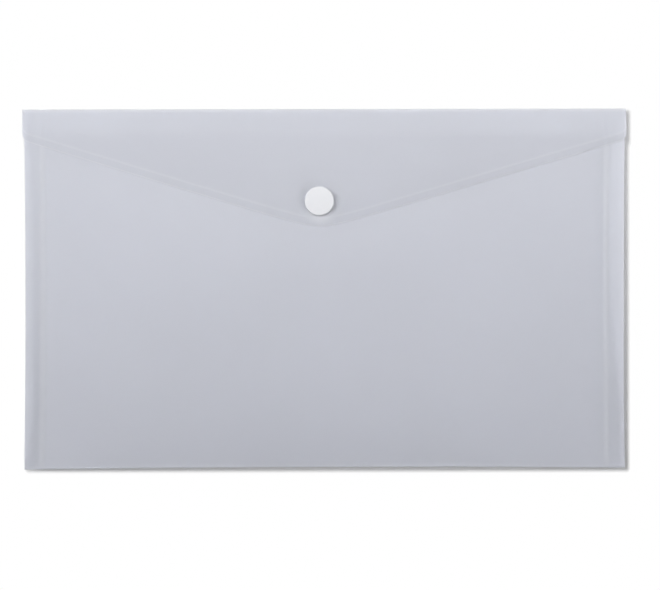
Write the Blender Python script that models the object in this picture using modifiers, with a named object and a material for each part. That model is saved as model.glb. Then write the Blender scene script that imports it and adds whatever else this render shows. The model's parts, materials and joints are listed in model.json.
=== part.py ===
"""Document wallet of translucent film: a welded pocket, a V flap and a plastic press stud.

The wallet lies on its back. X runs across it, Y runs up towards the flap crease and Z points away from
the table. The origin is at the middle of the wallet, on the table.
"""

import math

import bmesh
import bpy
from mathutils import Vector

# Driving dimensions, in metres
BODY_WIDTH = 0.250
BODY_HEIGHT = 0.150
FLAP_WIDTH = 0.2524
FILM = 0.0003
FOLD_GAP = 0.0004            # clear space where two films lie together
SEAT = 0.00005               # clear space between pieces that touch
BACK_BULGE = 0.0028
FRONT_BULGE = 0.00295

# Side welds and the free margins outside them
WELD_INSET = 0.0073
WELD_WIDTH = 0.0014
WELD_THICKNESS = 0.0003
MARGIN_CURL = 0.0005

# How far the pillow of the pocket takes to rise from each edge
SIDE_SHOULDER = 0.042
BOTTOM_SHOULDER = 0.046
TOP_SHOULDER = 0.018
PILLOW_POWER = 3             # higher is steeper at the edge and flatter inside
SHOULDER_SPLIT = 0.4         # outer share of a shoulder, which has closer rows
FOLD_LIP = 0.0005            # straight film beside a fold
MOUTH_Y = 0.065

# Flap outline
CLOSURE_X = -0.002           # tip and press stud sit a little left of the middle
EAR_Y = 0.0621               # where side and slope would meet with no rounding
EAR_RADIUS = 0.004
APEX_Y = 0.0241              # where the two slopes would meet with no rounding
TIP_ROUND = 0.002
TIP_REACH = 0.016            # half width of the rounded stretch
FLAP_CLEARANCE = 0.0003      # flap to front panel, away from the press stud
FLAP_RISE_SIDE = 0.0092
FLAP_RISE_MIDDLE = 0.011
FLAP_POWER = 1.5
FLAP_ROWS = 11
FLAP_ROW_POWER = 1.4         # rows stand closer together beside the crease
LIFT_FLAT = 0.009            # half width of the flap's level middle
LIFT_REACH = 0.075           # half width of the stretch that the press stud lifts

# Press stud
STUD_Y = 0.0365
STUD_SIDES = 32
DIMPLE = 0.0012              # how far the closed stud sinks into the front film
DIMPLE_CORE = 0.0056         # radius of the level film under the stud
DIMPLE_RADIUS = 0.0108
DIMPLE_STEPS = 12
EDGE_BREAK = 0.0002          # broken edges of the mouldings
FILM_HOLE_RADIUS = 0.0011
POST_RADIUS = 0.00075
POST_BORE_RADIUS = 0.0009
POST_HEAD_RADIUS = 0.00135
POST_HEAD = 0.00015
HEAD_RECESS_RADIUS = 0.0016
HEAD_RECESS = 0.00025
CAP_RADIUS = 0.006
CAP_HEIGHT = 0.0016
CAP_RIM_RADIUS = 0.0009
CAP_DOME = 0.00015
CAP_FLAT_RADIUS = 0.0027
RIVET_RADIUS = 0.0055
RIVET_HEIGHT = 0.0006
STUD_RADIUS = 0.005
STUD_BASE = 0.0003
KNOB_HEIGHT = 0.0008
KNOB_NECK_RADIUS = 0.00235
KNOB_RADIUS = 0.0026
KNOB_CROWN = 0.00025         # from the top of the knob down to its widest band
KNOB_BAND = 0.0001
KNOB_UNDERCUT = 0.0001
SOCKET_HEIGHT = 0.0013
SOCKET_WEB = 0.00055
SOCKET_WALL = 0.0007
COLLAR_RADIUS = 0.0035       # outside of the spring collar
COLLAR_BORE = 0.0028
COLLAR_LIP = 0.0025          # smaller than the knob, so the stud snaps in
COLLAR_LIP_BAND = 0.0001
COLLAR_UNDERCUT = 0.00015
COLLAR_SLIT = 0.0005
STUD_PLAY = 0.0001

# Places worked out from the dimensions above
HALF_PITCH = (FILM + FOLD_GAP) / 2
FOLD_REACH = HALF_PITCH + FILM / 2
FOLD_Z = FILM / 2 + BACK_BULGE + HALF_PITCH
CREASE_Y = BODY_HEIGHT / 2 - FOLD_REACH
BOTTOM_Y = -BODY_HEIGHT / 2 + FOLD_REACH
WELD_X = BODY_WIDTH / 2 - WELD_INSET
FLAP_HALF = FLAP_WIDTH / 2
EAR_SPREAD = FLAP_WIDTH / BODY_WIDTH - 1
STUD_STACK = SEAT + STUD_BASE + STUD_PLAY + SOCKET_HEIGHT + SEAT
FRONT_TOP_Z = FOLD_Z + HALF_PITCH + FRONT_BULGE + FILM / 2
STUD_SEAT_Z = FRONT_TOP_Z - DIMPLE
FLAP_TOP_Z = STUD_SEAT_Z + STUD_STACK + FILM
SNAP_XY = Vector((CLOSURE_X, STUD_Y, 0))

PART_COLLECTION = "document_wallet"
CUTTER_COLLECTION = "cutters"


def clear_scene():
    """Remove what the file holds and make the two collections."""
    for item in list(bpy.data.objects):
        bpy.data.objects.remove(item)
    for name in (PART_COLLECTION, CUTTER_COLLECTION):
        collection = bpy.data.collections.new(name)
        bpy.context.scene.collection.children.link(collection)


def material(name, colour, roughness, transmission=0.0):
    """Plain shader with a colour, a roughness and some see-through."""
    made = bpy.data.materials.new(name)
    made.use_nodes = True
    shader = made.node_tree.nodes["Principled BSDF"]
    shader.inputs["Base Color"].default_value = (*colour, 1)
    shader.inputs["Roughness"].default_value = roughness
    shader.inputs["Metallic"].default_value = 0
    shader.inputs["Transmission Weight"].default_value = transmission
    return made


def film_material(node):
    return material(f"{node}_film", (0.56, 0.58, 0.64), 0.45, 0.4)


def weld_material(node):
    return material(f"{node}_bead", (0.66, 0.68, 0.73), 0.25, 0.5)


def stud_material(node):
    return material(f"{node}_plastic", (0.84, 0.85, 0.88), 0.3)


def add_object(name, mesh, finish, at=Vector(), parent=None):
    """Link a mesh as a named part, placed in the world and carried by its parent."""
    part = bpy.data.objects.new(name, mesh)
    part.data.materials.append(finish)
    part.location = at - (parent.location if parent else Vector())
    part.parent = parent
    bpy.data.collections[PART_COLLECTION].objects.link(part)
    return part


def mesh_from(bm, name):
    mesh = bpy.data.meshes.new(name)
    bm.to_mesh(mesh)
    bm.free()
    return mesh


def stations(start, *spans):
    """Values from start on, with each span given as its end and its number of steps."""
    values = [start]
    for end, count in spans:
        first = values[-1]
        values += [first + (end - first) * (i + 1) / count for i in range(count)]
    return values


def mirrored(half):
    """Stations on both sides of zero, from a half that starts at zero."""
    return [-value for value in reversed(half[1:])] + half


def ease(s):
    """Smooth step from 0 to 1."""
    s = min(max(s, 0.0), 1.0)
    return s * s * (3 - 2 * s)


def swell(s):
    """Rise of a filled pillow from 0 at its edge to 1, steep at first and then level."""
    return 1 - (1 - min(max(s, 0.0), 1.0)) ** PILLOW_POWER


def side_rise(x):
    return swell((WELD_X - WELD_WIDTH / 2 - abs(x)) / SIDE_SHOULDER)


def bottom_rise(y):
    return swell((y - BOTTOM_Y - FOLD_LIP) / BOTTOM_SHOULDER)


def top_rise(y):
    return swell((CREASE_Y - FOLD_LIP - y) / TOP_SHOULDER)


def margin_curl(x, y):
    """The film outside the welds is free, and curls away from its partner."""
    outside = max(abs(x) - WELD_X - WELD_WIDTH / 2, 0) / WELD_INSET
    return MARGIN_CURL * outside ** 2 * bottom_rise(y)


def stud_dimple(x, y):
    """Hollow that the closed press stud pushes into the front film."""
    away = math.hypot(x - CLOSURE_X, y - STUD_Y)
    return DIMPLE * (1 - ease((away - DIMPLE_CORE) / (DIMPLE_RADIUS - DIMPLE_CORE)))


def front_height(x, y):
    """Middle of the front film, with the margin, the pillow of the pocket and the stud's hollow."""
    pillow = FRONT_BULGE * side_rise(x) * bottom_rise(y)
    return FOLD_Z + HALF_PITCH + pillow + margin_curl(x, y) - stud_dimple(x, y)


def back_height(x, y):
    """Middle of the back film: a shallow dish that is flat where it rests."""
    pillow = BACK_BULGE * side_rise(x) * bottom_rise(y)
    return FOLD_Z - HALF_PITCH - (pillow + margin_curl(x, y)) * top_rise(y)


def flap_height(x, y):
    """Middle of the flap: out of the crease, over the mouth edge and up to the press stud."""
    lift = ease(1 - (abs(x - CLOSURE_X) - LIFT_FLAT) / (LIFT_REACH - LIFT_FLAT))
    run = FLAP_RISE_SIDE + (FLAP_RISE_MIDDLE - FLAP_RISE_SIDE) * lift
    over_front = front_height(x, MOUTH_Y) - FOLD_Z - HALF_PITCH + FILM + FLAP_CLEARANCE
    rise = over_front + (STUD_STACK - DIMPLE - FLAP_CLEARANCE) * lift
    s = min(max((CREASE_Y - FOLD_LIP - y) / run, 0), 1)
    return FOLD_Z + HALF_PITCH + rise * (1 - (1 - s) ** FLAP_POWER)


def flap_edge(x):
    """Lower edge of the flap: two straight slopes, a rounded tip and rounded ears."""
    reach = FLAP_HALF + CLOSURE_X if x < CLOSURE_X else FLAP_HALF - CLOSURE_X
    slope = (EAR_Y - APEX_Y) / reach
    length = math.hypot(1, slope)
    inward = FLAP_HALF - abs(x)
    if inward < EAR_RADIUS * (1 - slope / length):
        centre = EAR_Y + EAR_RADIUS * (length - slope)
        return centre - math.sqrt(EAR_RADIUS ** 2 - (EAR_RADIUS - inward) ** 2)
    return APEX_Y + math.hypot(slope * (x - CLOSURE_X), TIP_ROUND)


def formed_sheet(name, columns, rows, point, at=Vector(), parent=None):
    """Film formed over a grid: each column and row pair gives a point on its middle surface."""
    bm = bmesh.new()
    bmesh.ops.create_grid(bm, x_segments=len(columns) - 1, y_segments=len(rows) - 1, size=1)
    for vert in bm.verts:
        column = columns[round((vert.co.x + 1) / 2 * (len(columns) - 1))]
        row = rows[round((vert.co.y + 1) / 2 * (len(rows) - 1))]
        vert.co = point(column, row) - at
    bmesh.ops.recalc_face_normals(bm, faces=bm.faces)
    mesh = mesh_from(bm, name)
    mesh.shade_smooth()
    sheet = add_object(name, mesh, film_material(name), at, parent)
    shell = sheet.modifiers.new("film", "SOLIDIFY")
    shell.thickness = FILM
    shell.offset = 0
    shell.use_even_offset = True
    return sheet


def body_columns():
    """Columns across a panel, closer together on the shoulders and margins."""
    weld_inner = WELD_X - WELD_WIDTH / 2
    weld_outer = WELD_X + WELD_WIDTH / 2
    outer = weld_inner - SHOULDER_SPLIT * SIDE_SHOULDER
    half = stations(0, (weld_inner - SIDE_SHOULDER, 3), (outer, 4), (weld_inner, 5),
                    (weld_outer, 1), (BODY_WIDTH / 2, 3))
    return mirrored(half)


def bottom_rows():
    """Rows from the bottom fold up over its shoulder, as a start and the spans that follow."""
    lip = BOTTOM_Y + FOLD_LIP
    spans = [(lip, 1), (lip + SHOULDER_SPLIT * BOTTOM_SHOULDER, 5), (lip + BOTTOM_SHOULDER, 4)]
    return BOTTOM_Y + SEAT, spans


def front_panel():
    """Front film. Its columns and rows stand closer together round the press stud."""
    start, spans = bottom_rows()
    rows = stations(start, *spans, (STUD_Y - DIMPLE_RADIUS, 2), (STUD_Y + DIMPLE_RADIUS, DIMPLE_STEPS),
                    (MOUTH_Y, 2))
    round_stud = stations(CLOSURE_X - DIMPLE_RADIUS, (CLOSURE_X + DIMPLE_RADIUS, DIMPLE_STEPS))
    columns = [x for x in body_columns() if abs(x - CLOSURE_X) > DIMPLE_RADIUS]
    sheet = formed_sheet("front_panel", sorted(columns + round_stud), rows,
                         lambda x, y: Vector((x, y, front_height(x, y))))
    cut_post_hole(sheet, STUD_SEAT_Z)


def back_panel():
    """Back film. Above the side welds it widens into the ears that the flap has too."""
    start, spans = bottom_rows()
    lip = CREASE_Y - FOLD_LIP
    rows = stations(start, *spans, (lip - TOP_SHOULDER, 3), (lip, 6), (CREASE_Y - SEAT, 1))

    def point(x, y):
        spread = 1 + EAR_SPREAD * ease((y - EAR_Y) / EAR_RADIUS)
        return Vector((x * spread, y, back_height(x, y)))

    formed_sheet("back_panel", body_columns(), rows, point)


def film_bend(name, y, side, width):
    """Tight half-round bend of film along X, which closes the two films on one side."""
    half_turn = stations(-math.pi / 2, (math.pi / 2, 8))

    def point(x, turn):
        out = side * HALF_PITCH * math.cos(turn)
        return Vector((x, y + out, FOLD_Z + HALF_PITCH * math.sin(turn)))

    formed_sheet(name, stations(-width / 2, (width / 2, 4)), half_turn, point)


def flap_columns():
    """Columns across the flap, closer together at the tip and round the ears."""
    columns = []
    for side in (-1, 1):
        tip = CLOSURE_X + side * TIP_REACH
        ear = side * (FLAP_HALF - EAR_RADIUS)
        lifted = CLOSURE_X + side * LIFT_REACH
        columns += stations(CLOSURE_X, (tip, 5), (lifted, 6), (side * WELD_X, 5), (ear, 1))
        columns += [ear + side * EAR_RADIUS * math.sin(math.pi / 2 * i / 5) for i in range(1, 6)]
    return sorted(set(columns))


def flap(hinge):
    """V flap. Its rows run from the crease to the lower edge in every column."""
    rows = [(i / FLAP_ROWS) ** FLAP_ROW_POWER for i in range(FLAP_ROWS + 1)]

    def point(x, share):
        start = CREASE_Y - SEAT
        y = start + (flap_edge(x) - start) * share
        return Vector((x, y, flap_height(x, y)))

    sheet = formed_sheet("flap", flap_columns(), rows, point, hinge.location, hinge)
    cut_post_hole(sheet, FLAP_TOP_Z)


def cut_post_hole(sheet, z):
    """Round hole in a film for the rivet post of the press stud."""
    bpy.ops.mesh.primitive_cylinder_add(vertices=16, radius=FILM_HOLE_RADIUS, depth=10 * FILM)
    cutter = bpy.context.object
    cutter.name = f"{sheet.name}_post_hole"
    cutter.location = SNAP_XY + Vector((0, 0, z))
    move_to_cutters(cutter)
    cut(sheet, cutter)


def move_to_cutters(cutter):
    for collection in list(cutter.users_collection):
        collection.objects.unlink(cutter)
    bpy.data.collections[CUTTER_COLLECTION].objects.link(cutter)
    cutter.hide_render = True
    cutter.display_type = "WIRE"


def cut(part, cutter):
    boolean = part.modifiers.new(cutter.name, "BOOLEAN")
    boolean.operation = "DIFFERENCE"
    boolean.solver = "EXACT"
    boolean.object = cutter


def side_weld(name, side):
    """Bead of melted film between front and back, along one side of the pocket."""
    start = BOTTOM_Y + FOLD_REACH
    bm = bmesh.new()
    bmesh.ops.create_cube(bm, size=1)
    bmesh.ops.scale(bm, vec=(WELD_WIDTH, MOUTH_Y - start, WELD_THICKNESS), verts=bm.verts)
    centre = Vector((side * WELD_X, (MOUTH_Y + start) / 2, FOLD_Z))
    bead = add_object(name, mesh_from(bm, name), weld_material(name), centre)
    rounded = bead.modifiers.new("rounded", "BEVEL")
    rounded.width = WELD_THICKNESS / 4
    rounded.segments = 1


def arc(centre, radius, start, end, count):
    """Points of a round stretch of a profile, by angle in degrees from +X."""
    points = []
    for i in range(count + 1):
        angle = math.radians(start + (end - start) * i / count)
        points.append((centre[0] + radius * math.cos(angle), centre[1] + radius * math.sin(angle)))
    return points


def turned(name, profile, at, parent=None, closed=False):
    """Moulding turned about its own axis. The profile runs down its outer side."""
    bm = bmesh.new()
    verts = [bm.verts.new((radius, 0, height)) for radius, height in profile]
    for first, second in zip(verts, verts[1:]):
        bm.edges.new((first, second))
    if closed:
        bm.edges.new((verts[-1], verts[0]))
    mesh = mesh_from(bm, name)
    part = add_object(name, mesh, stud_material(name), at, parent)
    screw = part.modifiers.new("turned", "SCREW")
    screw.axis = "Z"
    screw.angle = math.tau
    screw.steps = STUD_SIDES
    screw.render_steps = STUD_SIDES
    screw.use_merge_vertices = True
    screw.merge_threshold = 0.00001
    screw.use_smooth_shade = True
    return part


def post_below(length):
    """Rivet post that hangs from a cap, with the flattened head that holds the stack."""
    return [
        (POST_RADIUS, 0),
        (POST_RADIUS, POST_HEAD - length),
        (POST_HEAD_RADIUS, POST_HEAD - length),
        (POST_HEAD_RADIUS, -length),
        (0, -length),
    ]


def snap_cap(hinge):
    """White cap over the flap: a low dome with a rounded rim."""
    shoulder = CAP_HEIGHT - CAP_DOME
    rim = arc((CAP_RADIUS - CAP_RIM_RADIUS, shoulder - CAP_RIM_RADIUS), CAP_RIM_RADIUS, 80, 0, 5)
    profile = [
        (0, CAP_HEIGHT),
        (CAP_FLAT_RADIUS, CAP_HEIGHT - CAP_DOME / 4),
        *rim,
        (CAP_RADIUS, EDGE_BREAK),
        (CAP_RADIUS - EDGE_BREAK, 0),
        *post_below(FILM + SEAT + SOCKET_WEB),
    ]
    turned("snap_cap", profile, SNAP_XY + Vector((0, 0, FLAP_TOP_Z + SEAT)), hinge)


def snap_rivet():
    """Inner cap and post, inside the pocket, that carries the male half."""
    top = SEAT + FILM + STUD_BASE + KNOB_HEIGHT
    profile = [
        (0, top),
        (POST_HEAD_RADIUS, top),
        (POST_HEAD_RADIUS, top - POST_HEAD),
        (POST_RADIUS, top - POST_HEAD),
        (POST_RADIUS, 0),
        (RIVET_RADIUS - EDGE_BREAK, 0),
        (RIVET_RADIUS, -EDGE_BREAK),
        (RIVET_RADIUS, EDGE_BREAK - RIVET_HEIGHT),
        (RIVET_RADIUS - EDGE_BREAK, -RIVET_HEIGHT),
        (0, -RIVET_HEIGHT),
    ]
    turned("snap_rivet", profile, SNAP_XY + Vector((0, 0, STUD_SEAT_Z - FILM - SEAT)))


def snap_stud():
    """Male half: a thin base and a knob that swells above its neck."""
    top = STUD_BASE + KNOB_HEIGHT
    recess = top - HEAD_RECESS
    band_top = top - KNOB_CROWN
    band_foot = band_top - KNOB_BAND
    profile = [
        (HEAD_RECESS_RADIUS, top),
        (KNOB_RADIUS - EDGE_BREAK, top),
        (KNOB_RADIUS, band_top),
        (KNOB_RADIUS, band_foot),
        (KNOB_NECK_RADIUS, band_foot - KNOB_UNDERCUT),
        (KNOB_NECK_RADIUS, STUD_BASE),
        (STUD_RADIUS - EDGE_BREAK, STUD_BASE),
        (STUD_RADIUS, STUD_BASE - EDGE_BREAK),
        (STUD_RADIUS, 0),
        (POST_BORE_RADIUS, 0),
        (POST_BORE_RADIUS, recess),
        (HEAD_RECESS_RADIUS, recess),
    ]
    turned("snap_stud", profile, SNAP_XY + Vector((0, 0, STUD_SEAT_Z + SEAT)), closed=True)


def snap_socket(hinge):
    """Female half: an outer wall, and a slit collar inside it whose lip grips the knob."""
    roof = SOCKET_HEIGHT - SOCKET_WEB
    recess = roof + HEAD_RECESS
    wall = STUD_RADIUS - SOCKET_WALL
    lip_top = EDGE_BREAK + COLLAR_LIP_BAND
    profile = [
        (POST_BORE_RADIUS, SOCKET_HEIGHT),
        (STUD_RADIUS - EDGE_BREAK, SOCKET_HEIGHT),
        (STUD_RADIUS, SOCKET_HEIGHT - EDGE_BREAK),
        (STUD_RADIUS, 0),
        (wall, 0),
        (wall, roof),
        (COLLAR_RADIUS, roof),
        (COLLAR_RADIUS, 0),
        (COLLAR_LIP + EDGE_BREAK, 0),
        (COLLAR_LIP, EDGE_BREAK),
        (COLLAR_LIP, lip_top),
        (COLLAR_BORE, lip_top + COLLAR_UNDERCUT),
        (COLLAR_BORE, roof),
        (HEAD_RECESS_RADIUS, roof),
        (HEAD_RECESS_RADIUS, recess),
        (POST_BORE_RADIUS, recess),
    ]
    place = SNAP_XY + Vector((0, 0, FLAP_TOP_Z - FILM - SEAT - SOCKET_HEIGHT))
    socket = turned("snap_socket", profile, place, hinge, closed=True)
    for degrees in (0, 90):
        bpy.ops.mesh.primitive_cube_add(size=1)
        cutter = bpy.context.object
        cutter.name = f"snap_socket_slit_{degrees}"
        cutter.scale = (2 * COLLAR_RADIUS + COLLAR_SLIT, COLLAR_SLIT, 2 * (roof - SEAT))
        cutter.rotation_euler.z = math.radians(degrees)
        cutter.location = place
        move_to_cutters(cutter)
        cut(socket, cutter)


def build():
    clear_scene()
    hinge = bpy.data.objects.new("flap_axis", None)
    hinge.location = (0, CREASE_Y, FOLD_Z)
    bpy.data.collections[PART_COLLECTION].objects.link(hinge)
    back_panel()
    front_panel()
    film_bend("bottom_fold", BOTTOM_Y, -1, BODY_WIDTH)
    film_bend("flap_crease", CREASE_Y, 1, FLAP_WIDTH)
    side_weld("left_side_weld", -1)
    side_weld("right_side_weld", 1)
    flap(hinge)
    snap_cap(hinge)
    snap_socket(hinge)
    snap_stud()
    snap_rivet()


build()
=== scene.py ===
import json
import math

import bmesh
import bpy
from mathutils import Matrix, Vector


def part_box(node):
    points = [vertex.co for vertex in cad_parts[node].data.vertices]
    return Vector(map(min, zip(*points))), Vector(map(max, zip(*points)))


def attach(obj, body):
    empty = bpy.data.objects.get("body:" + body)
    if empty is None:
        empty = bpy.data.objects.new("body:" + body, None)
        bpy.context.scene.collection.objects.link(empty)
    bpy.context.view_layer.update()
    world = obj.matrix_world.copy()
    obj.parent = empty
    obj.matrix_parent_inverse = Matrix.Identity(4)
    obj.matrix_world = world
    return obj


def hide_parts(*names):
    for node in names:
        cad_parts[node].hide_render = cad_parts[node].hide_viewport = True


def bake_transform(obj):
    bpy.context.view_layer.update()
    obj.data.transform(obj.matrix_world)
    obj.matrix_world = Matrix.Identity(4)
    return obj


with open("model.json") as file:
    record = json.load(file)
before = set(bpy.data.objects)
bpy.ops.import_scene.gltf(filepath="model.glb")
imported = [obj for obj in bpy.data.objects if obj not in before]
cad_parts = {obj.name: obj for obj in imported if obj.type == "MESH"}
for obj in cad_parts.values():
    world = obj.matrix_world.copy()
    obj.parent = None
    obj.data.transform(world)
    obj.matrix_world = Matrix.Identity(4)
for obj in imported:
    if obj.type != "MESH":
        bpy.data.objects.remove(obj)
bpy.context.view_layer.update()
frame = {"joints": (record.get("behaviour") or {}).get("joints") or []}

scene = bpy.context.scene
scene.view_settings.view_transform = "Standard"

# sizes of the film, in metres
filmThickness = 0.0003
cutThickness = 0.00006       # the die leaves the border of the flap thinner towards its cut edge
touch = 0.00005              # clear space between pieces that touch
earInset = 0.0005            # the ears of the film stand out a little less than the solid's

# places read from the frame
creaseY, foldZ = frame["joints"][0]["pos_m"][1:]
bottomY = -creaseY
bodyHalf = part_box("bottom_fold")[1].x
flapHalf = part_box("flap_crease")[1].x - earInset
foldLow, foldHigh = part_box("bottom_fold")
halfPitch = (foldHigh.z - foldLow.z - filmThickness) / 2     # fold axis to the middle of either film
weldLow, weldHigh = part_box("right_side_weld")
weldInner, weldOuter = weldLow.x, weldHigh.x
weldMiddle = (weldInner + weldOuter) / 2
mouthY = weldHigh.y
capLow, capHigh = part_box("snap_cap")
closureX = (capLow.x + capHigh.x) / 2
studY = (capLow.y + capHigh.y) / 2
capRadius = (capHigh.x - capLow.x) / 2
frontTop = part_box("front_panel")[1].z
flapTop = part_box("flap")[1].z
frontBase = foldZ + halfPitch
backBase = foldZ - halfPitch
frontBulge = frontTop - filmThickness / 2 - frontBase
backBulge = backBase - filmThickness / 2
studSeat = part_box("snap_stud")[0].z - touch - filmThickness / 2      # middle of the film under the stud
capSeat = flapTop - filmThickness / 2                                # middle of the film under the cap


# small helpers

def clamp(value, low=0.0, high=1.0):
    return min(max(value, low), high)


def ease(s):
    s = clamp(s)
    return s * s * (3 - 2 * s)


def softMin(a, b, width):
    # smaller of two heights, rounded over where they cross
    share = clamp(0.5 + 0.5 * (b - a) / width)
    return b + (a - b) * share - width * share * (1 - share)


def stations(start, *spans):
    # values from start on; each span is its end and its number of steps
    values = [start]
    for end, count in spans:
        first = values[-1]
        values += [first + (end - first) * (i + 1) / count for i in range(count)]
    return values


def mirrored(half):
    return [-value for value in reversed(half[1:])] + half


def addPiece(name, mesh, finish):
    piece = bpy.data.objects.new(name, mesh)
    scene.collection.objects.link(piece)
    mesh.materials.append(finish)
    return piece


def formFilm(name, columns, rows, pointAt, finish, holeAt):
    # film over a grid; pointAt gives a place on its middle, how white the film is, partly stress
    # whitening and partly painted highlight, and how thinned
    bm = bmesh.new()
    # paleness per point: stress whitening and painted highlight
    whiteningAndHighlight = bm.verts.layers.float.new("whiteningAndHighlight")
    weights = bm.verts.layers.deform.new()
    grid = []
    for row in rows:
        line = []
        for column in columns:
            place, whiteningAndHighlightShare, thinned = pointAt(column, row)
            vert = bm.verts.new(place)
            vert[whiteningAndHighlight] = whiteningAndHighlightShare
            vert[weights][0] = 1 - thinned       # group 0, the gauge
            line.append(vert)
        grid.append(line)
    for lower, upper in zip(grid, grid[1:]):
        for i in range(len(columns) - 1):
            bm.faces.new((lower[i], upper[i], upper[i + 1], lower[i + 1]))
    punchHole(bm, *holeAt)
    mesh = bpy.data.meshes.new(name)
    bm.to_mesh(mesh)
    bm.free()
    mesh.shade_smooth()
    film = addPiece(name, mesh, finish)
    film.vertex_groups.new(name="gauge")
    shell = film.modifiers.new("thickness", "SOLIDIFY")
    shell.thickness = filmThickness
    shell.offset = 0
    shell.vertex_group = "gauge"
    shell.thickness_vertex_group = cutThickness / filmThickness
    return film


def punchHole(bm, x, y, radius):
    # round hole for a rivet post: the nearest faces go, and their rim is drawn onto the circle
    def away(vert):
        return math.hypot(vert.co.x - x, vert.co.y - y)

    near = [face for face in bm.faces
            if all(vert.co.z > frontBase and away(vert) < 2 * radius for vert in face.verts)]
    near = [face for face in near if sum(map(away, face.verts)) / len(face.verts) < radius]
    rim = {vert for face in near for vert in face.verts}
    bmesh.ops.delete(bm, geom=near, context="FACES")
    for vert in rim:
        if vert.is_valid:
            scale = radius / away(vert)
            vert.co.x = x + (vert.co.x - x) * scale
            vert.co.y = y + (vert.co.y - y) * scale


# the pocket: front, bottom fold and back in one film

pocketShape = {
    "sideShoulder": 0.095,       # how far the pillow takes to rise from each edge
    "bottomShoulder": 0.046,
    "topShoulder": 0.018,
    "pillowPower": 3,            # how round it rises from the folds
    "sidePower": 2,              # and from the sides
    "leftTuck": 0.08,            # share of the rise that is taken close beside the weld
    "rightTuck": 0.24,
    "tuckReach": 0.007,
    "lip": 0.0005,               # straight film beside a fold
    "sideWaist": 0.0006,         # how far the bulge draws the edges in
    "bottomWaist": 0.0007,
    "bottomSkew": 0.0004,        # the bottom edge sits higher on the right
    "waistReach": 0.045,
    "mouthDip": 0.0006,          # the flap holds the mouth edge down
    "mouthReach": 0.016,
    "ridge": 0.00016,            # welded line, squeezed up
    "ridgeHalf": 0.0017,
    "leftArch": 0.0004,          # free margin outside the left weld: an arch
    "leftArchLow": 0.0003,       # how much higher it is low down
    "leftSpan": 1.1,             # its span, in widths of the margin
    "leftSpanEnd": 1.5,          # and the span towards its ends
    "leftEnd": 0.03,             # length of those ends
    "rightRise": 0.36,           # slopes of the right margin: a rise, and low down a fall beside the weld
    "rightFall": 0.2,
    "rightTurn": 0.17,           # where fall turns into rise, in widths of the margin
    "rightTurnLow": 0.77,
    "rightBend": 0.3,            # width of that turn
    "marginSplit": 0.016,        # height below which the margins change
    "marginReach": 0.075,        # length over which they do
    "marginClose": 0.005,        # the margins close towards the bottom fold
    "marginTop": 0.058,          # and between these heights towards the crease
    "marginFlat": 0.074,
    "backCurl": 0.0005,          # the margins of the back curl down
    "leftValley": 0.0012,        # trough pressed into the pocket along the edge of the flap
    "rightValley": 0.0006,
    "valleyOutside": 0.017,      # its reach on either side of that edge
    "valleyInside": 0.025,
    "valleyEnd": 0.012,          # it fades out this close to a weld
    "valleyShare": 0.7,          # of the pillow's height at most
    "valleySoft": 0.0001,        # rounding of that limit
    "crownFlat": 0.009,          # the front crowns up to the flap round the press stud
    "crownHalf": 0.085,
    "crownAbove": 0.012,         # level this far above the stud
    "crownBelow": 0.014,         # and this far below it
    "crownFade": 0.06,
    "crownPower": 1.6,
    "dimpleCore": 0.0056,        # radii of the hollow round the press stud
    "dimpleRadius": 0.0108,
    "foldWhite": 0.0012,         # reach of paler film beside a fold and a cut edge: at a fold partly stress whitening and partly painted highlight, along the flap's cut edge painted highlight, and at the mouth edge the reach of the thinning
    "cutEdgeReach": 0.0005,
    "foldWhiteAndHighlight": 0.2,           # how white the film is at the bottom fold and the crease, partly stress whitening and partly painted highlight, and at the welds
    "creaseWhiteAndHighlight": 0.5,
    "weldStress": 0.3,
    "bandColumns": ((0.014, 16), (0.075, 20), (0.108, 18)),   # from the middle out: half width and count
    "edgeBand": 0.0014,          # columns are finest this close to the edge
    "marginColumns": 36,
    "edgeColumns": 10,
    "mouthRows": 0.015,          # rows are finer above this height on the front
    "foldRows": -0.05,           # and below this one
    "creaseRows": 0.05,          # and above this one on the back
    "frontRows": (56, 24, 36),
    "bendRows": 12,
    "backRows": (20, 16, 28),
}


def swell(s, power):
    return 1 - (1 - clamp(s)) ** power


def sideRise(x):
    inward = weldInner - abs(x)
    tuck = pocketShape["leftTuck"] if x < 0 else pocketShape["rightTuck"]
    slow = swell(inward / pocketShape["sideShoulder"], pocketShape["sidePower"])
    return tuck * swell(inward / pocketShape["tuckReach"], pocketShape["sidePower"]) + (1 - tuck) * slow


def bottomRise(y):
    inward = y - bottomY - pocketShape["lip"]
    return swell(inward / pocketShape["bottomShoulder"], pocketShape["pillowPower"])


def topRise(y):
    inward = creaseY - pocketShape["lip"] - y
    return swell(inward / pocketShape["topShoulder"], pocketShape["pillowPower"])


def easeArea(s):
    # area under ease from 0 to s
    s = max(s, 0)
    return s ** 3 - s ** 4 / 2 if s < 1 else s - 0.5


def leftMargin(share, y, low):
    ends = max(1 - ease((y - bottomY) / pocketShape["leftEnd"]),
               1 - ease((pocketShape["marginTop"] - y) / pocketShape["leftEnd"]))
    span = pocketShape["leftSpan"] + (pocketShape["leftSpanEnd"] - pocketShape["leftSpan"]) * ends
    arch = pocketShape["leftArch"] + pocketShape["leftArchLow"] * low
    return arch * math.sin(math.pi * share / span) ** 2


def rightMargin(share, low):
    # falls away from the weld, then turns and rises to the edge
    turn = pocketShape["rightTurn"] + (pocketShape["rightTurnLow"] - pocketShape["rightTurn"]) * low
    bend = pocketShape["rightBend"]
    fall = pocketShape["rightFall"] * low
    area = easeArea((share - turn) / bend + 0.5) - easeArea(0.5 - turn / bend)
    return (bodyHalf - weldOuter) * ((fall + pocketShape["rightRise"]) * bend * area - fall * share)


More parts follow.
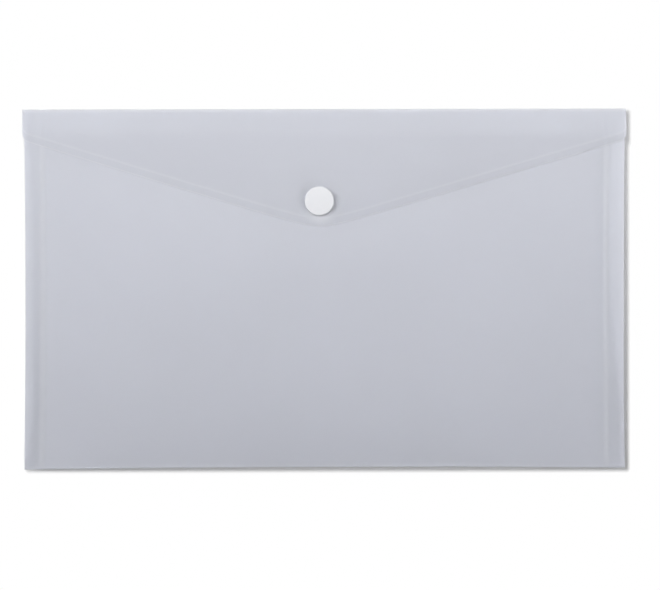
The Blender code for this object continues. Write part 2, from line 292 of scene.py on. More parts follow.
def frontMargin(x, y):
    share = clamp((abs(x) - weldOuter) / (bodyHalf - weldOuter))
    low = ease((pocketShape["marginSplit"] - y) / pocketShape["marginReach"])
    lift = leftMargin(share, y, low) if x < 0 else rightMargin(share, low)
    high = (y - pocketShape["marginTop"]) / (pocketShape["marginFlat"] - pocketShape["marginTop"])
    return lift * ease((y - bottomY) / pocketShape["marginClose"]) * (1 - ease(high))


def weldShare(x):
    offset = (abs(x) - weldMiddle) / pocketShape["ridgeHalf"]
    return max(1 - offset * offset, 0) ** 2


def weldRidge(x, y):
    return pocketShape["ridge"] * weldShare(x) * ease((y - bottomY) / pocketShape["marginClose"])


def flapValley(x, y):
    inside = insideFlap(x, y)
    reach = pocketShape["valleyInside"] if inside > 0 else pocketShape["valleyOutside"]
    side = ease(0.5 + (x - closureX) / (2 * pocketShape["crownHalf"]))
    depth = pocketShape["leftValley"] + (pocketShape["rightValley"] - pocketShape["leftValley"]) * side
    across = clamp(1 - abs(inside) / reach) ** 2
    return depth * across * ease((weldInner - abs(x)) / pocketShape["valleyEnd"])


def slackPillow(x, y):
    dip = pocketShape["mouthDip"] * (1 - ease((mouthY - y) / pocketShape["mouthReach"]))
    pillow = (frontBulge - dip) * sideRise(x) * bottomRise(y)
    deepest = pocketShape["valleyShare"] * pillow
    return pillow - softMin(flapValley(x, y), deepest, pocketShape["valleySoft"])


def crownShare(x, y):
    away = abs(x - closureX) - pocketShape["crownFlat"]
    across = ease(1 - away / (pocketShape["crownHalf"] - pocketShape["crownFlat"]))
    up = swell((mouthY - y) / (mouthY - studY - pocketShape["crownAbove"]), pocketShape["crownPower"])
    down = ease((studY - pocketShape["crownBelow"] - y) / pocketShape["crownFade"])
    return across * up * (1 - down)


def frontPillow(x, y):
    # under the flap the front comes up until the two films all but touch
    tip = flapShape["hollow"] * ease(1 + (studY - y) / (2 * capRadius))
    top = capSeat + tip - filmThickness - flapShape["clearance"] - frontBase
    return slackPillow(x, y) + (top - slackPillow(closureX, studY)) * crownShare(x, y)


def studDimple(x, y):
    away = math.hypot(x - closureX, y - studY) - pocketShape["dimpleCore"]
    return 1 - ease(away / (pocketShape["dimpleRadius"] - pocketShape["dimpleCore"]))


def frontHeight(x, y):
    height = frontBase + frontPillow(x, y) + weldRidge(x, y) + frontMargin(x, y)
    return height + (studSeat - height) * studDimple(x, y)


def backHeight(x, y):
    pillow = backBulge * sideRise(x) * bottomRise(y)
    outside = clamp((abs(x) - weldOuter) / (bodyHalf - weldOuter))
    curl = pocketShape["backCurl"] * outside ** 2 * bottomRise(y)
    return backBase - (pillow + curl) * topRise(y) + min(frontMargin(x, y), 0)


def drawnIn(place):
    # a filled pocket pulls its edges in between the corners
    across = place.x / bodyHalf
    along = place.y / creaseY
    low = 1 - ease((place.y - bottomY) / pocketShape["waistReach"])
    return Vector((
        place.x - pocketShape["sideWaist"] * across * max(1 - along * along, 0),
        place.y + (pocketShape["bottomWaist"] * (1 - across * across)
                   + pocketShape["bottomSkew"] * (1 + across) / 2) * low,
        place.z,
    ))


def pocketColumns():
    shape = pocketShape
    half = stations(0, *shape["bandColumns"], (bodyHalf - shape["edgeBand"], shape["marginColumns"]),
                    (bodyHalf, shape["edgeColumns"]))
    return mirrored(half)


def pocketRows():
    # from the mouth down the front, round the bottom fold and up the back to the crease
    shape = pocketShape
    upper, middle, lower = shape["frontRows"]
    front = stations(mouthY, (shape["mouthRows"], upper), (shape["foldRows"], middle), (bottomY, lower))
    bend = stations(math.pi / 2, (3 * math.pi / 2, shape["bendRows"]))
    lower, middle, upper = shape["backRows"]
    back = stations(bottomY, (shape["foldRows"], lower), (shape["creaseRows"], middle), (creaseY, upper))
    rows = [("front", y) for y in front]
    rows += [("bend", turn) for turn in bend[1:-1]]
    return rows + [("back", y) for y in back]


def pocketPoint(x, row):
    # the bottom fold and the crease are paler, partly stress whitening and partly painted highlight; the
    # welds are stress-whitened
    stretch, value = row
    if stretch == "bend":
        place = Vector((x, bottomY + halfPitch * math.cos(value), foldZ + halfPitch * math.sin(value)))
        return drawnIn(place), pocketShape["foldWhiteAndHighlight"], 0.0
    y = value
    fold = pocketShape["foldWhiteAndHighlight"] * (1 - ease((y - bottomY) / pocketShape["foldWhite"]))
    weld = pocketShape["weldStress"] * weldShare(x)
    if stretch == "front":
        cutEdge = 1 - ease((mouthY - y) / pocketShape["cutEdgeReach"])
        return drawnIn(Vector((x, y, frontHeight(x, y)))), max(fold, weld), cutEdge
    crease = pocketShape["creaseWhiteAndHighlight"] * (1 - ease((creaseY - y) / pocketShape["foldWhite"]))
    place = drawnIn(Vector((x, y, backHeight(x, y))))
    # the back widens to the ears of the flap
    place.x *= 1 + (flapHalf / bodyHalf - 1) * ease((y - flapShape["earY"]) / flapShape["earRadius"])
    return place, max(fold, crease, weld), 0.0


# the flap: its crease and the V, in one film, with its bend round the crease

flapShape = {
    "earY": 0.0621,              # where side and slope would meet with no rounding
    "earRadius": 0.004,
    "apexY": 0.0241,             # where the slopes would meet with no rounding
    "tipRound": 0.002,
    "clearance": 0.00025,        # over the front film
    "hollow": 0.0006,            # how far the tip of the flap stands up round the cap
    "hollowReach": 0.0045,       # distance from the cap over which it does
    "knee": 0.0006,              # rounding where the film bends over the mouth edge
    "creaseRound": 0.0008,       # and where it leaves the crease
    "border": 0.0032,            # from the cut edge to the pressed line
    "rim": 0.010,                # film along the cut edge, bent down to the front film
    "rimPower": 1.5,
    "edgeGap": 0.00001,          # air left at the cut edge
    "score": 0.00003,            # pressed line along the border
    "scoreHalf": 0.0007,
    "scoreStress": 0.35,         # how white it is
    "capHighlight": 1.0,            # painted highlight below the cap: a pale crescent that also lightens the cap's shadow
    "capHighlightReach": 0.005,
    "bandColumns": ((0.01, 32), (0.02, 16), (0.075, 30)),     # from the stud out: distance and count
    "sideBand": 0.108,           # columns change again this far from the middle
    "sideColumns": (22, 30),
    "earColumns": 12,
    "bendRows": 12,
    "faceRows": 100,
    "facePower": 1.1,            # rows a little closer at the crease
    "borderTop": 0.005,          # this close to the cut edge the rows follow it
    "scoreTop": 0.0037,          # and are finest across the pressed line
    "scoreFoot": 0.0027,
    "borderRows": (3, 8, 12),
}


def flapSlope(x):
    reach = flapHalf + closureX if x < closureX else flapHalf - closureX
    return (flapShape["earY"] - flapShape["apexY"]) / reach


def flapEdge(x):
    # two straight slopes with a rounded tip and rounded ears
    slope = flapSlope(x)
    length = math.hypot(1, slope)
    inward = flapHalf - abs(x)
    radius = flapShape["earRadius"]
    if inward < radius * (1 - slope / length):
        centre = flapShape["earY"] + radius * (length - slope)
        return centre - math.sqrt(max(radius ** 2 - (radius - inward) ** 2, 0))
    return flapShape["apexY"] + math.hypot(slope * (x - closureX), flapShape["tipRound"])


def insideFlap(x, y):
    # distance in from the cut edge, negative outside it
    return (y - flapEdge(x)) / math.hypot(1, flapSlope(x))


def fromCrease(y):
    run = max(creaseY - pocketShape["lip"] - y, 0)
    return math.hypot(run, flapShape["creaseRound"]) - flapShape["creaseRound"]


def flapDrape(x, y):
    # up from the crease to the mouth edge, then over the front film
    gap = filmThickness + flapShape["clearance"]
    level = frontPillow(x, min(y, mouthY)) + gap
    overMouth = frontPillow(x, mouthY) + gap
    ramp = softMin(overMouth * fromCrease(y) / fromCrease(mouthY), level, flapShape["knee"])
    ridge = weldRidge(x, y) * ease((creaseY - y) / (creaseY - mouthY))
    return frontBase + max(ramp, 0) + ridge + frontMargin(x, y)


def flapRim(x, y):
    edge = flapEdge(x)
    air = flapDrape(x, edge) - frontHeight(x, edge) - (filmThickness + cutThickness) / 2
    share = clamp(1 - insideFlap(x, y) / flapShape["rim"]) ** flapShape["rimPower"]
    return (air - flapShape["edgeGap"]) * share


def flapHeight(x, y):
    # the cap holds the film level at its own height
    height = flapDrape(x, y) - flapRim(x, y) + flapShape["score"] * scoreShare(x, y)
    away = math.hypot(x - closureX, y - studY) - capRadius
    return height + (capSeat - height) * (1 - ease(away / flapShape["hollowReach"]))


def scoreShare(x, y):
    offset = (insideFlap(x, y) - flapShape["border"]) / flapShape["scoreHalf"]
    return max(1 - offset * offset, 0) ** 2


def capHighlightBelow(x, y):
    # painted highlight below the cap, strongest straight under it and fading out past the rim
    across, up = x - closureX, y - studY
    away = math.hypot(across, up)
    low = clamp(-up / max(away, touch)) ** 2
    return flapShape["capHighlight"] * low * (1 - ease((away - capRadius) / flapShape["capHighlightReach"]))


def flapColumns():
    columns = []
    inner, outer = flapShape["sideColumns"]
    earSteps = flapShape["earColumns"]
    for side in (-1, 1):
        ear = side * (flapHalf - flapShape["earRadius"])
        bands = [(closureX + side * reach, count) for reach, count in flapShape["bandColumns"]]
        columns += stations(closureX, *bands, (side * flapShape["sideBand"], inner), (ear, outer))
        turns = [math.pi / 2 * (i + 1) / earSteps for i in range(earSteps)]
        columns += [ear + side * flapShape["earRadius"] * math.sin(turn) for turn in turns]
    return sorted(set(columns))


def flapRows():
    # round the crease, down the flap, then rows that follow the cut edge
    shape = flapShape
    turns = stations(-math.pi / 2, (math.pi / 2, shape["bendRows"]))
    upper, score, lower = shape["borderRows"]
    border = stations(shape["borderTop"], (shape["scoreTop"], upper),
                      (shape["scoreFoot"], score), (0, lower))
    rows = [("bend", turn) for turn in turns[:-1]]
    rows += [("face", (i / shape["faceRows"]) ** shape["facePower"]) for i in range(shape["faceRows"])]
    return rows + [("border", inside) for inside in border]


def flapPoint(x, row):
    stretch, value = row
    if stretch == "bend":
        place = Vector((x, creaseY + halfPitch * math.cos(value), foldZ + halfPitch * math.sin(value)))
        return place, pocketShape["creaseWhiteAndHighlight"], 0.0
    slant = math.hypot(1, flapSlope(x))
    borderTop = flapEdge(x) + flapShape["borderTop"] * slant
    if stretch == "face":
        y = creaseY + (borderTop - creaseY) * value
    else:
        y = flapEdge(x) + value * slant
    inside = insideFlap(x, y)
    # paleness: the crease partly stress whitening and partly painted highlight, painted highlight along
    # the cut edge that also lightens its shadow, stress whitening at the pressed line, painted highlight
    # below the cap
    crease = pocketShape["creaseWhiteAndHighlight"] * (1 - ease((creaseY - y) / pocketShape["foldWhite"]))
    cutEdge = 1 - ease(inside / pocketShape["cutEdgeReach"])
    whiteningAndHighlight = max(crease, cutEdge, flapShape["scoreStress"] * scoreShare(x, y), capHighlightBelow(x, y))
    thinned = clamp(1 - inside / flapShape["rim"])
    return Vector((x, y, flapHeight(x, y))), whiteningAndHighlight, thinned


# side welds: flat beads of melted film between front and back

weldShape = {
    "sections": 14,              # points round a bead
    "steps": 120,                # rings along it
    "wobble": 0.05,              # how unevenly it has spread, as a share of its width
    "waves": (61, 143),          # two waves along it that don't fall in step
    "waveShift": 1,
    "endRound": 0.0007,
    "endLeast": 0.04,            # square of the share of its section left at the ends
}


def weldBead(name, finish):
    low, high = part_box(name)
    middle = (low + high) / 2
    halfWidth = (high.x - low.x) / 2
    halfThick = (high.z - low.z) / 2
    longWave, shortWave = weldShape["waves"]
    bm = bmesh.new()
    rings = []
    for step in range(weldShape["steps"] + 1):
        share = step / weldShape["steps"]
        y = low.y + (high.y - low.y) * share
        toEnd = min(y - low.y, high.y - y) / weldShape["endRound"]
        closing = math.sqrt(clamp(1 - (1 - clamp(toEnd)) ** 2, weldShape["endLeast"]))
        waves = math.sin(longWave * share) + math.sin(shortWave * share + weldShape["waveShift"])
        wander = 1 + weldShape["wobble"] * waves / 2
        ring = []
        for i in range(weldShape["sections"]):
            turn = math.tau * i / weldShape["sections"]
            x = middle.x + halfWidth * closing * wander * math.cos(turn) / (1 + weldShape["wobble"])
            ring.append(bm.verts.new((x, y, middle.z + halfThick * closing * math.sin(turn))))
        rings.append(ring)
    for first, second in zip(rings, rings[1:]):
        for i in range(weldShape["sections"]):
            j = (i + 1) % weldShape["sections"]
            bm.faces.new((first[i], first[j], second[j], second[i]))
    bm.faces.new(rings[0])
    bm.faces.new(reversed(rings[-1]))
    bmesh.ops.recalc_face_normals(bm, faces=bm.faces)
    mesh = bpy.data.meshes.new(name)
    bm.to_mesh(mesh)
    bm.free()
    mesh.shade_smooth()
    return addPiece(name.replace("_side_weld", "WeldBead"), mesh, finish)


# press stud: four turned mouldings

studShape = {
    "sides": 96,
    "fillet": 0.00012,
    "filletSteps": 4,
    "filletLimit": 2.2,          # edges are at least this many fillets long
    "merge": 0.000002,           # points this close at the axis are one
    "sharpAngle": 35,            # degrees past which an edge stays sharp
    "postRadius": 0.00075,
    "postBore": 0.0009,
    "headRadius": 0.00135,
    "headHeight": 0.00015,
    "recessRadius": 0.0016,
    "recessDepth": 0.00025,
    "edge": 0.0002,              # broken edges
    "capRim": 0.0003,
    "capDome": 0.00008,
    "domeSteps": 8,
    "rimSteps": 8,
    "rimStart": 80,              # degrees up from the side where the rim's rounding starts
    "knobNeck": 0.00235,
    "knobRadius": 0.0026,
    "knobCrown": 0.00025,        # heights down from the top of the knob
    "knobBand": 0.00035,
    "knobFoot": 0.00045,
    "base": 0.0003,
    "plate": 0.0006,             # inner cap on the rivet
    "web": 0.00055,
    "wall": 0.0007,
    "collarRadius": 0.0035,
    "collarBore": 0.0028,
    "collarLip": 0.0025,
    "lipTop": 0.0003,
    "boreFoot": 0.00045,
    "collarSlit": 0.0005,
    "filmHole": 0.0011,
}


def filleted(corners, closed):
    # a profile with each corner rounded as a mould leaves it
    count = len(corners)
    points = []
    for i, corner in enumerate(corners):
        here = Vector(corner)
        if not closed and i in (0, count - 1):
            points.append(here)
            continue
        before = Vector(corners[i - 1]) - here
        after = Vector(corners[(i + 1) % count]) - here
        size = min(studShape["fillet"], min(before.length, after.length) / studShape["filletLimit"])
        first = here + before.normalized() * size
        last = here + after.normalized() * size
        for k in range(studShape["filletSteps"] + 1):
            t = k / studShape["filletSteps"]
            points.append(first * (1 - t) ** 2 + here * 2 * t * (1 - t) + last * t * t)
    return points


def turnedPiece(name, corners, z, finish, closed=False):
    bm = bmesh.new()
    verts = [bm.verts.new((point.x, 0, point.y)) for point in filleted(corners, closed)]
    for first, second in zip(verts, verts[1:]):
        bm.edges.new((first, second))
    if closed:
        bm.edges.new((verts[-1], verts[0]))
    mesh = bpy.data.meshes.new(name)
    bm.to_mesh(mesh)
    bm.free()
    piece = addPiece(name, mesh, finish)
    piece.location = (closureX, studY, z)
    screw = piece.modifiers.new("turned", "SCREW")
    screw.steps = screw.render_steps = studShape["sides"]
    screw.use_merge_vertices = True
    screw.merge_threshold = studShape["merge"]
    return piece


def settle(piece):
    # keep what the modifiers make as the piece's own mesh
    bpy.context.view_layer.update()
    made = bpy.data.meshes.new_from_object(piece.evaluated_get(bpy.context.evaluated_depsgraph_get()))
    piece.modifiers.clear()
    piece.data = made
    made.shade_smooth()
    made.set_sharp_from_angle(angle=math.radians(studShape["sharpAngle"]))


def capPiece(finish):
    base = flapTop + touch
    top = capHigh.z - base
    post = capLow.z - base
    rim = studShape["capRim"]
    shoulder = top - studShape["capDome"]
    corners = [(0, top)]
    for i in range(1, studShape["domeSteps"] + 1):
        share = i / studShape["domeSteps"]
        corners.append(((capRadius - rim) * share, top - studShape["capDome"] * share * share))
    for i in range(1, studShape["rimSteps"] + 1):
        turn = math.radians(studShape["rimStart"] * (1 - i / studShape["rimSteps"]))
        corners.append((capRadius - rim + rim * math.cos(turn), shoulder - rim + rim * math.sin(turn)))
    corners += [
        (capRadius, studShape["edge"]),
        (capRadius - studShape["edge"], 0),
        (studShape["postRadius"], 0),
        (studShape["postRadius"], post + studShape["headHeight"]),
        (studShape["headRadius"], post + studShape["headHeight"]),
        (studShape["headRadius"], post),
        (0, post),
    ]
    return turnedPiece("snapCap", corners, base, finish)


def socketPiece(finish):
    low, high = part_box("snap_socket")
    top = high.z - low.z
    radius = (high.x - low.x) / 2
    roof = top - studShape["web"]
    recess = roof + studShape["recessDepth"]
    wall = radius - studShape["wall"]
    lip = studShape["collarLip"]
    corners = [
        (studShape["postBore"], top),
        (radius, top),
        (radius, 0),
        (wall, 0),
        (wall, roof),
        (studShape["collarRadius"], roof),
        (studShape["collarRadius"], 0),
        (lip + studShape["edge"], 0),
        (lip, studShape["edge"]),
        (lip, studShape["lipTop"]),
        (studShape["collarBore"], studShape["boreFoot"]),
        (studShape["collarBore"], roof),
        (studShape["recessRadius"], roof),
        (studShape["recessRadius"], recess),
        (studShape["postBore"], recess),
    ]
    socket = turnedPiece("snapSocket", corners, low.z, finish, closed=True)
    cutters = [collarSlit(socket, turn, roof) for turn in (0, math.pi / 2)]
    settle(socket)
    for cutter in cutters:
        bpy.data.objects.remove(cutter)
    return socket


def collarSlit(socket, turn, roof):
    # cross of slits that lets the collar spring open
    bpy.ops.mesh.primitive_cube_add(size=1, location=socket.location)
    cutter = bpy.context.object
    length = 2 * studShape["collarRadius"] + studShape["collarSlit"]
    cutter.scale = (length, studShape["collarSlit"], 2 * (roof - touch))
    cutter.rotation_euler.z = turn
    cut = socket.modifiers.new("slit", "BOOLEAN")
    cut.object = cutter
    cut.operation = "DIFFERENCE"
    return cutter


def studPiece(finish):
    low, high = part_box("snap_stud")
    top = high.z - low.z
    radius = (high.x - low.x) / 2
    neck = studShape["knobNeck"]
    knob = studShape["knobRadius"]
    base = studShape["base"]
    recess = top - studShape["recessDepth"]
    corners = [
        (studShape["recessRadius"], top),
        (knob - studShape["edge"], top),
        (knob, top - studShape["knobCrown"]),
        (knob, top - studShape["knobBand"]),
        (neck, top - studShape["knobFoot"]),
        (neck, base),
        (radius - studShape["edge"], base),
        (radius, base - studShape["edge"]),
        (radius, 0),
        (studShape["postBore"], 0),
        (studShape["postBore"], recess),
        (studShape["recessRadius"], recess),
    ]
    return turnedPiece("snapStud", corners, low.z, finish, closed=True)


def rivetPiece(finish):
    low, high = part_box("snap_rivet")
    radius = (high.x - low.x) / 2
    top = high.z - low.z
    plate = studShape["plate"]
    corners = [
        (0, top),
        (studShape["headRadius"], top),
        (studShape["headRadius"], top - studShape["headHeight"]),
        (studShape["postRadius"], top - studShape["headHeight"]),
        (studShape["postRadius"], plate),
        (radius - studShape["edge"], plate),
        (radius, plate - studShape["edge"]),
        (radius, studShape["edge"]),
        (radius - studShape["edge"], 0),
        (0, 0),
    ]
    return turnedPiece("snapRivet", corners, low.z, finish)


# materials

def newMaterial(name):
    made = bpy.data.materials.new(name)
    made.use_nodes = True
    return made, made.node_tree.nodes, made.node_tree.links, made.node_tree.nodes["Principled BSDF"]


def addNode(nodes, kind, **inputs):
    made = nodes.new("ShaderNode" + kind)
    for name, value in inputs.items():
        made.inputs[name.replace("_", " ")].default_value = value
    return made


def mixColour(nodes, links, share, first, second):
    mix = nodes.new("ShaderNodeMix")
    mix.data_type = "RGBA"       # its colours are inputs 6 and 7 and output 2
    links.new(share, mix.inputs[0])
    for socket, value in ((mix.inputs[6], first), (mix.inputs[7], second)):
        if isinstance(value, tuple):
            socket.default_value = (*value, 1)
        else:
            links.new(value, socket)
    return mix.outputs[2]


def ranged(nodes, links, value, low, high):
    span = addNode(nodes, "MapRange", To_Min=low, To_Max=high)
    links.new(value, span.inputs[0])
    return span.outputs[0]


def noiseOver(nodes, links, place, scale, detail):
    noise = addNode(nodes, "TexNoise", Scale=scale, Detail=detail)
    links.new(place, noise.inputs["Vector"])
    return noise.outputs[0]


def flowFinish(nodes, links, shader, place, finish, first, second):
    # colour and gloss that drift as the melt flowed
    flow = noiseOver(nodes, links, place, finish["flowScale"], finish["flowDetail"])
    links.new(mixColour(nodes, links, flow, finish[first], finish[second]), shader.inputs["Base Color"])
    links.new(ranged(nodes, links, flow, *finish["roughness"]), shader.inputs["Roughness"])


def grainBump(nodes, links, shader, place, finish):
    grain = noiseOver(nodes, links, place, finish["grainScale"], finish["grainDetail"])
    bump = addNode(nodes, "Bump", Strength=finish["grainStrength"], Distance=finish["grainHeight"])
    links.new(grain, bump.inputs["Height"])
    links.new(bump.outputs[0], shader.inputs["Normal"])


filmFinish = {
    "clear": (0.774, 0.786, 0.830),
    "cloudy": (0.798, 0.810, 0.855),
    "whitenedAndHighlit": (0.92, 0.93, 0.96),    # stress whitening at the welds, the pressed line and in part the folds; painted highlight at the folds, the flap's cut edge and below the cap
    "transmission": 0.5,
    "roughness": (0.6, 0.7),
    "ior": 1.25,
    "cloudScale": 24,
    "cloudDetail": 3,
    "grainScale": 2600,
    "grainDetail": 2,
    "grainStrength": 0.35,
    "grainHeight": 0.00002,
}


def filmMaterial():
    finish = filmFinish
    made, nodes, links, shader = newMaterial("frostedFilm")
    place = nodes.new("ShaderNodeTexCoord").outputs["Object"]
    cloud = noiseOver(nodes, links, place, finish["cloudScale"], finish["cloudDetail"])
    whiteningAndHighlightShare = nodes.new("ShaderNodeAttribute")
    whiteningAndHighlightShare.attribute_name = "whiteningAndHighlight"
    tint = mixColour(nodes, links, cloud, finish["clear"], finish["cloudy"])
    # paler where the film is stress-whitened, and painted highlight at the folds, the flap's cut edge and
    # below the cap
    tint = mixColour(nodes, links, whiteningAndHighlightShare.outputs["Fac"], tint, finish["whitenedAndHighlit"])
    links.new(tint, shader.inputs["Base Color"])
    links.new(ranged(nodes, links, cloud, *finish["roughness"]), shader.inputs["Roughness"])
    grainBump(nodes, links, shader, place, finish)
    shader.inputs["Transmission Weight"].default_value = finish["transmission"]
    shader.inputs["IOR"].default_value = finish["ior"]
    return made


weldFinish = {
    "thin": (0.95, 0.955, 0.97),
    "thick": (0.98, 0.983, 0.99),
    "transmission": 0.97,
    "roughness": (0.05, 0.12),
    "flowScale": 300,
    "flowDetail": 3,
}


def weldMaterial():
    made, nodes, links, shader = newMaterial("meltedFilm")
    place = nodes.new("ShaderNodeTexCoord").outputs["Object"]
    flowFinish(nodes, links, shader, place, weldFinish, "thin", "thick")
    shader.inputs["Transmission Weight"].default_value = weldFinish["transmission"]
    return made


studFinish = {
    "shade": (0.835, 0.845, 0.88),
    "light": (0.87, 0.877, 0.908),
    "roughness": (0.36, 0.46),
    "flowScale": 260,
    "flowDetail": 3,
    "grainScale": 4000,
    "grainDetail": 2,
    "grainStrength": 0.3,
    "grainHeight": 0.000008,
}


def studMaterial():
    made, nodes, links, shader = newMaterial("whiteMoulding")
    place = nodes.new("ShaderNodeTexCoord").outputs["Object"]
    flowFinish(nodes, links, shader, place, studFinish, "shade", "light")
    grainBump(nodes, links, shader, place, studFinish)
    return made


# build the wallet

filmLook = filmMaterial()
weldLook = weldMaterial()
studLook = studMaterial()

postHole = (closureX, studY, studShape["filmHole"])
pocketFilm = formFilm("pocketFilm", pocketColumns(), pocketRows(), pocketPoint, filmLook, postHole)
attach(pocketFilm, "pocket")
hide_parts("front_panel", "back_panel", "bottom_fold")
print("pocket film:", len(pocketFilm.data.polygons), "faces before thickness")

flapFilm = formFilm("flapFilm", flapColumns(), flapRows(), flapPoint, filmLook, postHole)
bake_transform(flapFilm)
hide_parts("flap", "flap_crease")
print("flap film:", len(flapFilm.data.polygons), "faces before thickness")

for weldName in ("left_side_weld", "right_side_weld"):
    bead = weldBead(weldName, weldLook)
    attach(bead, "pocket")
    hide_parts(weldName)
print("side welds: 2 beads")

for makePiece, node, body in ((capPiece, "snap_cap", "flap"), (socketPiece, "snap_socket", "flap"),
                              (studPiece, "snap_stud", "pocket"), (rivetPiece, "snap_rivet", "pocket")):
    moulding = makePiece(studLook)
    if moulding.modifiers:
        settle(moulding)
    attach(moulding, body)
    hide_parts(node)
print("press stud: 4 mouldings")


# floor, light and camera

stageShape = {
    "floorSize": 12.0,
    "floorZ": -0.0002,
    "floorColour": (0.88, 0.88, 0.88),
    "shownColour": (1.0, 1.0, 1.0),          # as the camera sees it
    "shadowShift": (0.0012, -0.0008, 0),     # the shadow falls to the lower right
    "shadowReach": 0.002,                    # past it the floor fades into the white behind it
    "shadowVeil": 0.06,                      # share of that white over the shadow
    "ambient": 0.03,
}
lampShapes = {
    "keyLight": {"place": (-2.4, 0.8, 3.0), "aim": (0, 0, 0), "size": (2.4, 2.4), "power": 36},
    "topLight": {"place": (0.08, 0.115, 0.2), "aim": (0.08, 0.115, 0),
                 "size": (0.9, 0.12), "power": 0.42},
    # lights all but the floor, and is a little higher because two lamps in one place lose light
    "topFill": {"place": (0.08, 0.115, 0.21), "aim": (0.08, 0.115, 0),
                "size": (0.9, 0.12), "power": 0.28, "objectOnly": True},
    "leftLight": {"place": (-3.5, 0.3, 1.4), "aim": (0, 0, 0), "size": (2.0, 2.0), "power": 51},
    "rightLight": {"place": (2.4, -0.5, 1.5), "aim": (0, 0, 0), "size": (2.0, 2.0), "power": 17.2},
}


def seenRay(nodes, links, *kinds):
    # 1 for rays of the kinds given
    path = nodes.new("ShaderNodeLightPath")
    seen = path.outputs[kinds[0]]
    for kind in kinds[1:]:
        either = nodes.new("ShaderNodeMath")
        either.operation = "MAXIMUM"
        links.new(seen, either.inputs[0])
        links.new(path.outputs[kind], either.inputs[1])
        seen = either.outputs[0]
    return seen


def mixShader(nodes, links, share, first, second):
    mix = nodes.new("ShaderNodeMixShader")
    for socket, value in zip(mix.inputs, (share, first, second)):
        links.new(value, socket)
    return mix.outputs[0]


def vectorStep(nodes, links, operation, first, second=None):
    step = nodes.new("ShaderNodeVectorMath")
    step.operation = operation
    links.new(first, step.inputs[0])
    if second:
        step.inputs[1].default_value = second
    return step


def outsideBox(nodes, links, place, centreY, half):
    # distance from a box that lies where the shadow falls
    shift = Vector(stageShape["shadowShift"]) + Vector((0, centreY, 0))
    steps = (("SUBTRACT", shift), ("ABSOLUTE", None), ("SUBTRACT", half), ("MAXIMUM", (0, 0, 0)))
    for operation, value in steps:
        place = vectorStep(nodes, links, operation, place, value).outputs[0]
    return vectorStep(nodes, links, "LENGTH", place).outputs["Value"]


def floorMaterial():
    made, nodes, links, shader = newMaterial("paleFloor")
    nodes.remove(shader)
    lit = addNode(nodes, "BsdfDiffuse", Color=(*stageShape["floorColour"], 1)).outputs[0]
    shown = addNode(nodes, "BsdfDiffuse", Color=(*stageShape["shownColour"], 1)).outputs[0]
    white = addNode(nodes, "Emission", Strength=1).outputs[0]
    place = nodes.new("ShaderNodeTexCoord").outputs["Object"]
    beyond = nodes.new("ShaderNodeMath")
    beyond.operation = "MINIMUM"
    ears = flapShape["earY"]
    boxes = ((0, (bodyHalf, creaseY, 0)),
             ((creaseY + ears) / 2, (flapHalf, (creaseY - ears) / 2, 0)))
    for socket, (centreY, half) in zip(beyond.inputs, boxes):
        links.new(outsideBox(nodes, links, place, centreY, half), socket)
    far = addNode(nodes, "MapRange", From_Max=stageShape["shadowReach"],
                  To_Min=stageShape["shadowVeil"])
    far.interpolation_type = "SMOOTHSTEP"
    links.new(beyond.outputs[0], far.inputs[0])
    shown = mixShader(nodes, links, far.outputs[0], shown, white)
    shown = mixShader(nodes, links, seenRay(nodes, links, "Is Camera Ray", "Is Glossy Ray"), lit, shown)
    links.new(mixShader(nodes, links, seenRay(nodes, links, "Is Transmission Ray"), shown, white),
              nodes["Material Output"].inputs["Surface"])
    return made


def makeFloor():
    bm = bmesh.new()
    bmesh.ops.create_grid(bm, x_segments=1, y_segments=1, size=stageShape["floorSize"] / 2)
    mesh = bpy.data.meshes.new("floor")
    bm.to_mesh(mesh)
    bm.free()
    floor = addPiece("floor", mesh, floorMaterial())
    floor.location.z = stageShape["floorZ"]
    return floor


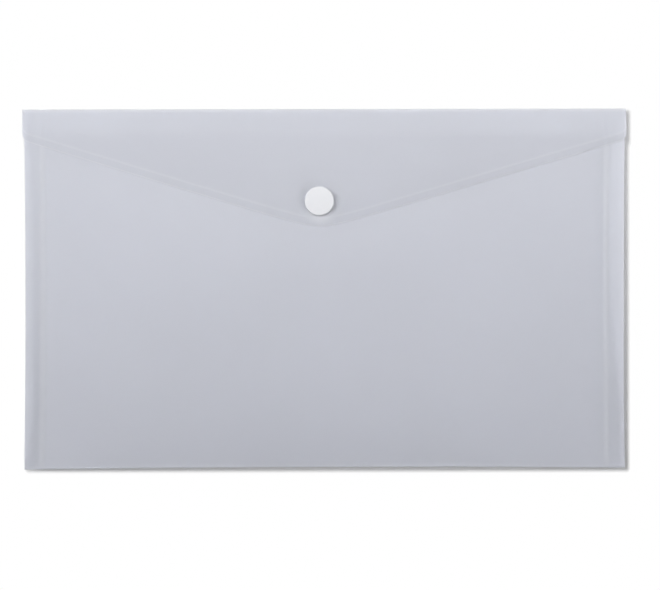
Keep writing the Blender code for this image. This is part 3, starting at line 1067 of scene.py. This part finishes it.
def makeLamp(name, shape, floor):
    lamp = bpy.data.lights.new(name, "AREA")
    lamp.shape = "RECTANGLE"
    lamp.size, lamp.size_y = shape["size"]
    lamp.energy = shape["power"]
    made = bpy.data.objects.new(name, lamp)
    made.visible_camera = False
    made.location = shape["place"]
    made.rotation_euler = (Vector(shape["aim"]) - made.location).to_track_quat("-Z", "Y").to_euler()
    scene.collection.objects.link(made)
    if shape.get("objectOnly"):      # all but the floor
        spared = bpy.data.collections.new(name + "Spared")
        spared.objects.link(floor)
        spared.collection_objects[0].light_linking.link_state = "EXCLUDE"
        made.light_linking.receiver_collection = spared


def makeWorld():
    world = bpy.data.worlds.new("studio")
    world.use_nodes = True
    scene.world = world
    nodes, links = world.node_tree.nodes, world.node_tree.links
    ambient = nodes["Background"]
    ambient.inputs["Strength"].default_value = stageShape["ambient"]
    ambient.inputs["Color"].default_value = (1, 1, 1, 1)
    shown = addNode(nodes, "Background", Color=(1, 1, 1, 1), Strength=1)
    seen = seenRay(nodes, links, "Is Camera Ray", "Is Glossy Ray", "Is Transmission Ray")
    links.new(mixShader(nodes, links, seen, ambient.outputs[0], shown.outputs[0]),
              nodes["World Output"].inputs["Surface"])


cameraShape = {
    "imageWidth": 660,           # pixels, as are the next three
    "imageHeight": 590,
    "walletCentre": (324.5, 289.15),
    "walletWidth": 600,
    "roll": -0.0955,             # degrees
    "lens": 100,                 # millimetres
    "sensor": 36,
}


def makeCamera():
    data = bpy.data.cameras.new("camera")
    data.lens = cameraShape["lens"]
    data.sensor_width = cameraShape["sensor"]
    camera = bpy.data.objects.new("camera", data)
    pixel = 2 * bodyHalf / cameraShape["walletWidth"]
    acrossView = pixel * cameraShape["imageWidth"]
    centreX, centreY = cameraShape["walletCentre"]
    camera.location = (
        (cameraShape["imageWidth"] / 2 - centreX) * pixel,
        (centreY - cameraShape["imageHeight"] / 2) * pixel,
        foldZ + acrossView * cameraShape["lens"] / cameraShape["sensor"],
    )
    camera.rotation_euler.z = math.radians(cameraShape["roll"])
    scene.collection.objects.link(camera)
    scene.camera = camera


studioFloor = makeFloor()
for lampName, lampShape in lampShapes.items():
    makeLamp(lampName, lampShape, studioFloor)
makeWorld()
makeCamera()
print("stage: floor, light and camera")
